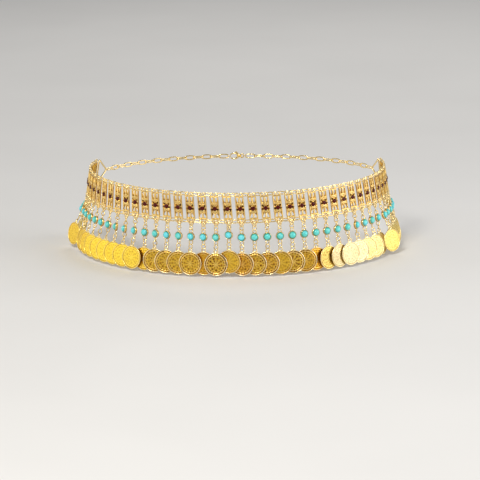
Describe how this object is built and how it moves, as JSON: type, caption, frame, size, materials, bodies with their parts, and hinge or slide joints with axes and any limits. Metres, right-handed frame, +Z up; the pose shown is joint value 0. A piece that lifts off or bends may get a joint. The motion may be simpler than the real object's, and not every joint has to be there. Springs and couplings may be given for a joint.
{
  "type": "waist chain",
  "caption": "Gold-coloured waist chain worn in a ring: pierced panels linked along both edges, drops with turquoise stones and lapped coins, chain and clasp behind.",
  "frame": {"origin": "middle of the waist that the chain goes round, level with the row of red stones", "axes": "-Y out of the wearer's front, +X to the right as seen from the front, +Z up"},
  "size_m": [0.3045, 0.2347, 0.0723],
  "materials": {
    "gold_plate": "gold-plated alloy, polished with darker recesses",
    "turquoise": "polished opaque turquoise-coloured cabochon"
  },
  "bodies": {
    "root": {"panels_and_drops_01": "gold_plate", "panels_and_drops_02": "gold_plate", "panels_and_drops_03": "gold_plate", "panels_and_drops_04": "gold_plate", "panels_and_drops_05": "gold_plate", "panels_and_drops_06": "gold_plate", "panels_and_drops_07": "gold_plate", "panels_and_drops_08": "gold_plate", "panels_and_drops_09": "gold_plate", "panels_and_drops_10": "gold_plate", "panels_and_drops_11": "gold_plate", "panels_and_drops_12": "gold_plate", "panels_and_drops_13": "gold_plate", "panels_and_drops_14": "gold_plate", "turquoise_01": "turquoise", "turquoise_02": "turquoise", "turquoise_03": "turquoise", "turquoise_04": "turquoise", "turquoise_05": "turquoise", "turquoise_06": "turquoise", "turquoise_07": "turquoise", "turquoise_08": "turquoise", "turquoise_09": "turquoise", "turquoise_10": "turquoise", "turquoise_11": "turquoise", "turquoise_12": "turquoise", "turquoise_13": "turquoise", "turquoise_14": "turquoise", "turquoise_15": "turquoise", "turquoise_16": "turquoise", "turquoise_17": "turquoise", "turquoise_18": "turquoise", "turquoise_19": "turquoise", "turquoise_20": "turquoise", "turquoise_21": "turquoise", "turquoise_22": "turquoise", "turquoise_23": "turquoise", "turquoise_24": "turquoise", "turquoise_25": "turquoise", "turquoise_26": "turquoise", "turquoise_27": "turquoise", "turquoise_28": "turquoise", "turquoise_29": "turquoise", "turquoise_30": "turquoise", "turquoise_31": "turquoise", "turquoise_32": "turquoise", "turquoise_33": "turquoise", "turquoise_34": "turquoise", "turquoise_35": "turquoise", "turquoise_36": "turquoise", "turquoise_37": "turquoise", "turquoise_38": "turquoise", "turquoise_39": "turquoise", "turquoise_40": "turquoise", "turquoise_41": "turquoise", "turquoise_42": "turquoise", "closing_chain_right": "gold_plate", "closing_chain_left": "gold_plate", "clasp": "gold_plate"}
  },
  "joints": []
}
